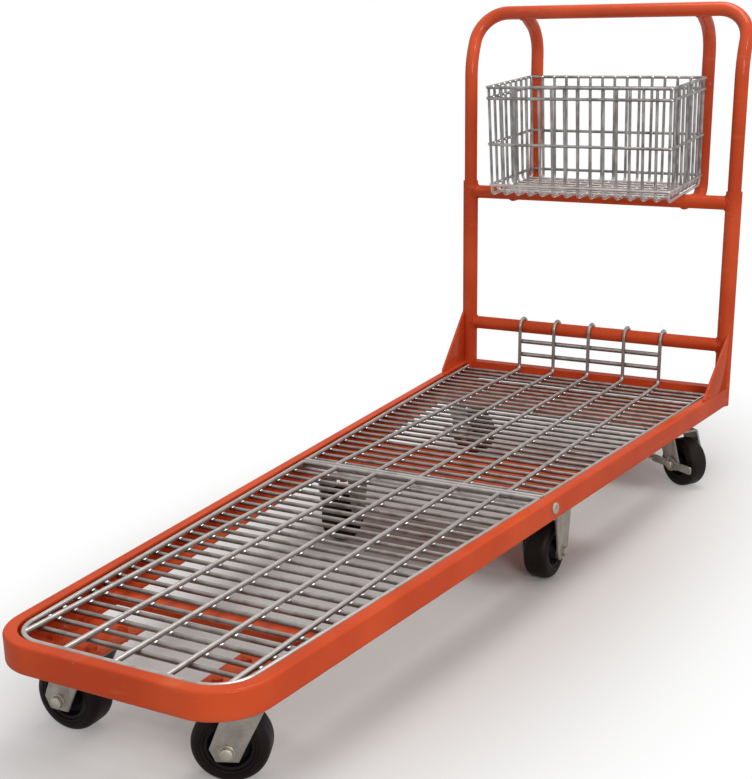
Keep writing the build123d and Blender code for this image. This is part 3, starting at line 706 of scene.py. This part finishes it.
PRESSED = [
    # start of the node's name, rounding, finish, slot
    ("fork_", 0.9, zinc_caster, "zinc_caster"),
    ("rigid_fork_", 0.9, zinc_caster, "zinc_caster"),
    ("brake_lever_", 0.9, zinc_caster, "zinc_caster"),
    ("gusset_", 0.8, orange_paint, "orange_paint"),
]
bodies = frame["record"]["behaviour"]["bodies"]
body_of_node = {node: body for body, nodes in bodies.items() for node in nodes}
for start, rounding, finish, slot in PRESSED:
    for node in sorted(frame["nodes"]):
        if node.startswith(start):
            rounded = round_edges(node, f"pressed_{node}", rounding)
            hand_over(rounded, body_of_node[node], finish, slot, node)
            print(rounded.name, faces_of(rounded), "faces")

# %% [markdown]
# ## The basket
# The basket is bent from round wire. Uprights come down the front, turn under the floor and go up the back,
# and another set does the same from side to side. Four rings go round the outside and hold them. In CAD it
# is five flat mats, for the collision shapes. Here each wire is drawn as its maker bends it: a path is
# extruded from one vertex, its corners are rounded by a vertex bevel, and it becomes a curve with a round
# section. A lattice or wireframe modifier would be quicker, but all its wires would lie in one plane, and
# here they pass over each other.

# %% A wire bender
ROUNDNESS = 4
BEND_STEPS = 6
AT_CORNER = 1e-5


def bend_wire(path, thickness, bend, closed=False):
    """A round wire along a path of points in millimetres, with its corners bent round."""
    points = [Vector(point) / 1000 for point in path]
    wire = draw_path(points, closed)
    bpy.ops.object.mode_set(mode="OBJECT")
    corners = range(len(points)) if closed else range(1, len(points) - 1)
    for vertex in wire.data.vertices:
        vertex.select = any((vertex.co - points[corner]).length < AT_CORNER for corner in corners)
    bpy.ops.object.mode_set(mode="EDIT")
    bpy.ops.mesh.bevel(offset=bend / 1000, segments=BEND_STEPS, affect="VERTICES")
    bpy.ops.object.mode_set(mode="OBJECT")
    bpy.ops.object.convert(target="CURVE")
    wire = bpy.context.object
    wire.data.bevel_depth = thickness / 2 / 1000
    wire.data.bevel_resolution = ROUNDNESS
    wire.data.use_fill_caps = True
    bpy.ops.object.convert(target="MESH")
    return bpy.context.object


print("wire bender ready")

# %% Bend the basket
HALF_LENGTH = 905.0
DECK_LENGTH = 1666.5
POST_Y = DECK_LENGTH
MID_BAR_Z = 576.0
BASKET_WIRE = 6.2
BASKET_RING = 6.4
RING_STEP = 3.9
WIRE_BEND, RING_BEND = 11.0, 5.5
FLOOR_Z = 593.0
RIM_Z = 820.0
WIRE_ENDS_ABOVE_RIM = 1.0
RING_HEIGHTS = (RIM_Z, 797.5, 701.0, 613.5)
BASKET_HALF = (199.0, 200.5)
BASKET_FRONT = 1549.106
BASKET_BACK = 1782.106
BASKET_DRAFT = 4.0
BASKET_TILT = math.radians(4.6)
ACROSS_SPACES = 14
SIDE_SPACES = 8
WIRE_SMOOTH_ANGLE = math.radians(50)


def up_basket(height):
    """How far up the basket a height lies, from 0 at the floor to 1 at the rim."""
    return (height - FLOOR_Z) / (RIM_Z - FLOOR_Z)


def basket_plan(height):
    """Half the width, and the front and back faces, at a height."""
    share = up_basket(height)
    half = BASKET_HALF[0] + (BASKET_HALF[1] - BASKET_HALF[0]) * share
    lean = BASKET_DRAFT * (1 - share)
    return half, BASKET_FRONT + lean, BASKET_BACK - lean


floor_half, floor_front, floor_back = basket_plan(FLOOR_Z)
rim_half, rim_front, rim_back = basket_plan(RIM_Z)
rim_top = RIM_Z + WIRE_ENDS_ABOVE_RIM
basket_wires = []
for step in range(ACROSS_SPACES + 1):
    across = 2 * step / ACROSS_SPACES - 1
    top_x, low_x = across * rim_half, across * floor_half
    path = [(top_x, rim_front, rim_top), (low_x, floor_front, FLOOR_Z), (low_x, floor_back, FLOOR_Z)]
    basket_wires.append(bend_wire(path + [(top_x, rim_back, rim_top)], BASKET_WIRE, WIRE_BEND))
side_floor = FLOOR_Z + RING_STEP
for step in range(1, SIDE_SPACES):
    share = step / SIDE_SPACES
    top_y = rim_front + share * (rim_back - rim_front)
    low_y = floor_front + share * (floor_back - floor_front)
    path = [(rim_half, top_y, rim_top), (floor_half, low_y, side_floor), (-floor_half, low_y, side_floor)]
    basket_wires.append(bend_wire(path + [(-rim_half, top_y, rim_top)], BASKET_WIRE, WIRE_BEND))
for height in RING_HEIGHTS:
    half, front, back = basket_plan(height)
    half, front, back = half + RING_STEP, front - RING_STEP, back + RING_STEP
    ring = [(-half, front, height), (half, front, height), (half, back, height), (-half, back, height)]
    basket_wires.append(bend_wire(ring, BASKET_RING, RING_BEND, closed=True))
basket = joined("basket", basket_wires)
pivot = Vector((0, POST_Y, MID_BAR_Z)) / 1000
basket_place = Matrix.Translation((0, -HALF_LENGTH / 1000, 0)) @ Matrix.Translation(pivot)
basket_place = basket_place @ Matrix.Rotation(BASKET_TILT, 4, "X") @ Matrix.Translation(-pivot)
basket.matrix_world = basket_place
settle(basket)
bpy.ops.object.shade_smooth_by_angle(angle=WIRE_SMOOTH_ANGLE)
basket_nodes = [f"basket_{wall}" for wall in ("front", "back", "left", "right", "floor")]
hand_over(basket, "frame", basket_wire, "zinc_wire", *basket_nodes)
print("basket of", len(basket_wires), "wires,", faces_of(basket), "faces")

# %% [markdown]
# ## Welds
# Where two wires of the deck or the basket cross, the welder pressed them together and a little
# zinc-covered nugget stands out beside the upper wire. In the picture these nuggets are the bright dots.
# The tubes of the handle are joined by a bead of weld, a row of overlapping drops under the paint. All are
# one small drop, repeated. It is shaped once, and Blender's vertex instancing puts a copy on each point of
# a cloud of points. Made real and joined, they are one mesh.

# %% A drop of weld
DROP_SEGMENTS, DROP_RINGS = 8, 5


def place_drops(name, spots, size):
    """One squashed drop of weld at each spot. The spots and the drop's three radii are in millimetres."""
    cloud_mesh = bpy.data.meshes.new(name)
    cloud_mesh.from_pydata([Vector(spot) / 1000 for spot in spots], [], [])
    cloud = bpy.data.objects.new(name + "_cloud", cloud_mesh)
    bpy.context.scene.collection.objects.link(cloud)
    pick()
    bpy.ops.mesh.primitive_uv_sphere_add(
        segments=DROP_SEGMENTS, ring_count=DROP_RINGS, radius=MILLIMETRE
    )
    drop = bpy.context.object
    bpy.ops.object.mode_set(mode="EDIT")
    bpy.ops.mesh.select_all(action="SELECT")
    bpy.ops.transform.resize(value=size)
    bpy.ops.object.mode_set(mode="OBJECT")
    bpy.ops.object.shade_smooth()
    drop.parent = cloud
    cloud.instance_type = "VERTS"
    pick(cloud)
    bpy.ops.object.duplicates_make_real()
    copies = [piece for piece in bpy.context.selected_objects if piece.type == "MESH" and piece is not cloud]
    pick(*copies)
    bpy.ops.object.make_single_user(object=True, obdata=True)
    welds = joined(name, copies)
    settle(welds)
    bpy.data.objects.remove(cloud)
    bpy.data.objects.remove(drop)
    return welds


print("welder ready")

# %% Weld the deck wires
DECK_Z = 178.0
WIRES_BELOW_DECK = 1.5
LONG_WIRE = 8.0
NUGGET_RISE = 0.3
NUGGET_Z = DECK_Z - WIRES_BELOW_DECK - LONG_WIRE + NUGGET_RISE
NUGGET = (6.4, 5.2, 2.3)
FRONT_WIDTH, REAR_WIDTH = 385.2, 642.0
TAPER = (REAR_WIDTH - FRONT_WIDTH) / 2 / DECK_LENGTH
EDGE_WIRE_INSET = 25.5
LONG_STEPS = range(-2, 3)
FRONT_LONG_PITCH, REAR_LONG_PITCH = 79.0, 84.0
FRONT_FIRST, FRONT_PITCH, FRONT_SPACES = 72.0, 30.5, 23
REAR_FIRST, REAR_LAST, REAR_SPACES = 817.75, 1623.5, 26


def edge_wire_x(y):
    """Half the distance between the edge wires of the deck, at a distance behind the front face."""
    return FRONT_WIDTH / 2 + TAPER * y - EDGE_WIRE_INSET * math.hypot(1.0, TAPER)


def crossings(rows, pitch):
    """Where lengthwise wires and edge wires cross the cross wires."""
    spots = []
    for y in rows:
        lines = [step * pitch for step in LONG_STEPS] + [-edge_wire_x(y), edge_wire_x(y)]
        spots += [(x, y - HALF_LENGTH, NUGGET_Z) for x in lines]
    return spots


front_rows = [FRONT_FIRST + FRONT_PITCH * step for step in range(1, FRONT_SPACES + 1)]
front_welds = place_drops("front_deck_welds", crossings(front_rows, FRONT_LONG_PITCH), NUGGET)
hand_over(front_welds, "frame", weld_zinc, "zinc_wire")
rear_pitch = (REAR_LAST - REAR_FIRST) / REAR_SPACES
rear_rows = [REAR_FIRST + rear_pitch * step for step in range(1, REAR_SPACES + 1)]
rear_welds = place_drops("rear_deck_welds", crossings(rear_rows, REAR_LONG_PITCH), NUGGET)
hand_over(rear_welds, "rear_panel", weld_zinc, "zinc_wire")
print("deck welds", faces_of(front_welds), "and", faces_of(rear_welds), "faces")

# %% Weld the basket wires
BASKET_NUGGET = (4.4, 4.4, 2.6)
basket_spots = []
for height in RING_HEIGHTS:
    half, front, back = basket_plan(height)
    half, front, back = half + RING_STEP / 2, front - RING_STEP / 2, back + RING_STEP / 2
    for step in range(ACROSS_SPACES + 1):
        x = half * (2 * step / ACROSS_SPACES - 1)
        basket_spots += [(x, front, height), (x, back, height)]
    for step in range(1, SIDE_SPACES):
        y = front + (back - front) * step / SIDE_SPACES
        basket_spots += [(-half, y, height), (half, y, height)]
floor_shares = [2 * step / ACROSS_SPACES - 1 for step in range(1, ACROSS_SPACES)]
for step in range(1, SIDE_SPACES):
    y = floor_front + (floor_back - floor_front) * step / SIDE_SPACES
    basket_spots += [(share * floor_half, y, FLOOR_Z + RING_STEP / 2) for share in floor_shares]
basket_welds = place_drops("basket_welds", basket_spots, BASKET_NUGGET)
basket_welds.matrix_world = basket_place
settle(basket_welds)
hand_over(basket_welds, "frame", weld_zinc, "zinc_wire")
print("basket welds", len(basket_spots), "drops")

# %% Weld the tubes of the handle
POST_X = 306.0
POST_RADIUS = 17.0
BAR_RADIUS = 14.5
HOOP_RADIUS = 14.3
BRACE_RADIUS = 14.0
BRACE_X = 200.0
LOWER_BAR_Z = 270.8
HANDLE_Y, HANDLE_Z = 1714.0, 966.0
BRACE_RUN = (0, 82.0, -43.0)
BEAD_DROPS = 34
BEAD_DROP = (2.3, 2.3, 2.3)
BAR_BEAD_OUT, BRACE_BEAD_OUT = 0.6, 0.4


def saddle(centre, along, across, radius, other_radius):
    """Points of the seam where a tube meets another one squarely, on the far tube's skin."""
    centre, along, across = Vector(centre), Vector(along).normalized(), Vector(across)
    beside = along.cross(across)
    seam = []
    for step in range(BEAD_DROPS):
        angle = 2 * math.pi * step / BEAD_DROPS
        over, up = radius * math.cos(angle), radius * math.sin(angle)
        reach = math.sqrt(max(other_radius**2 - over**2, 0.0))
        seam.append(centre + beside * over + across * up + along * reach)
    return seam


bead_spots = []
for side in (-1, 1):
    for height in (LOWER_BAR_Z, MID_BAR_Z):
        post_centre = (side * POST_X, POST_Y - HALF_LENGTH, height)
        bead_spots += saddle(post_centre, (-side, 0, 0), (0, 0, 1), BAR_RADIUS + BAR_BEAD_OUT, POST_RADIUS)
    handle_centre = (side * BRACE_X, HANDLE_Y - HALF_LENGTH, HANDLE_Z)
    bead_spots += saddle(handle_centre, BRACE_RUN, (1, 0, 0), BRACE_RADIUS + BRACE_BEAD_OUT, HOOP_RADIUS)
tube_welds = place_drops("tube_welds", bead_spots, BEAD_DROP)
hand_over(tube_welds, "frame", orange_paint, "orange_paint")
print("tube welds", len(bead_spots), "drops")

# %% [markdown]
# ## Last step
# Nothing is left selected.

# %% Leave nothing selected
pick()
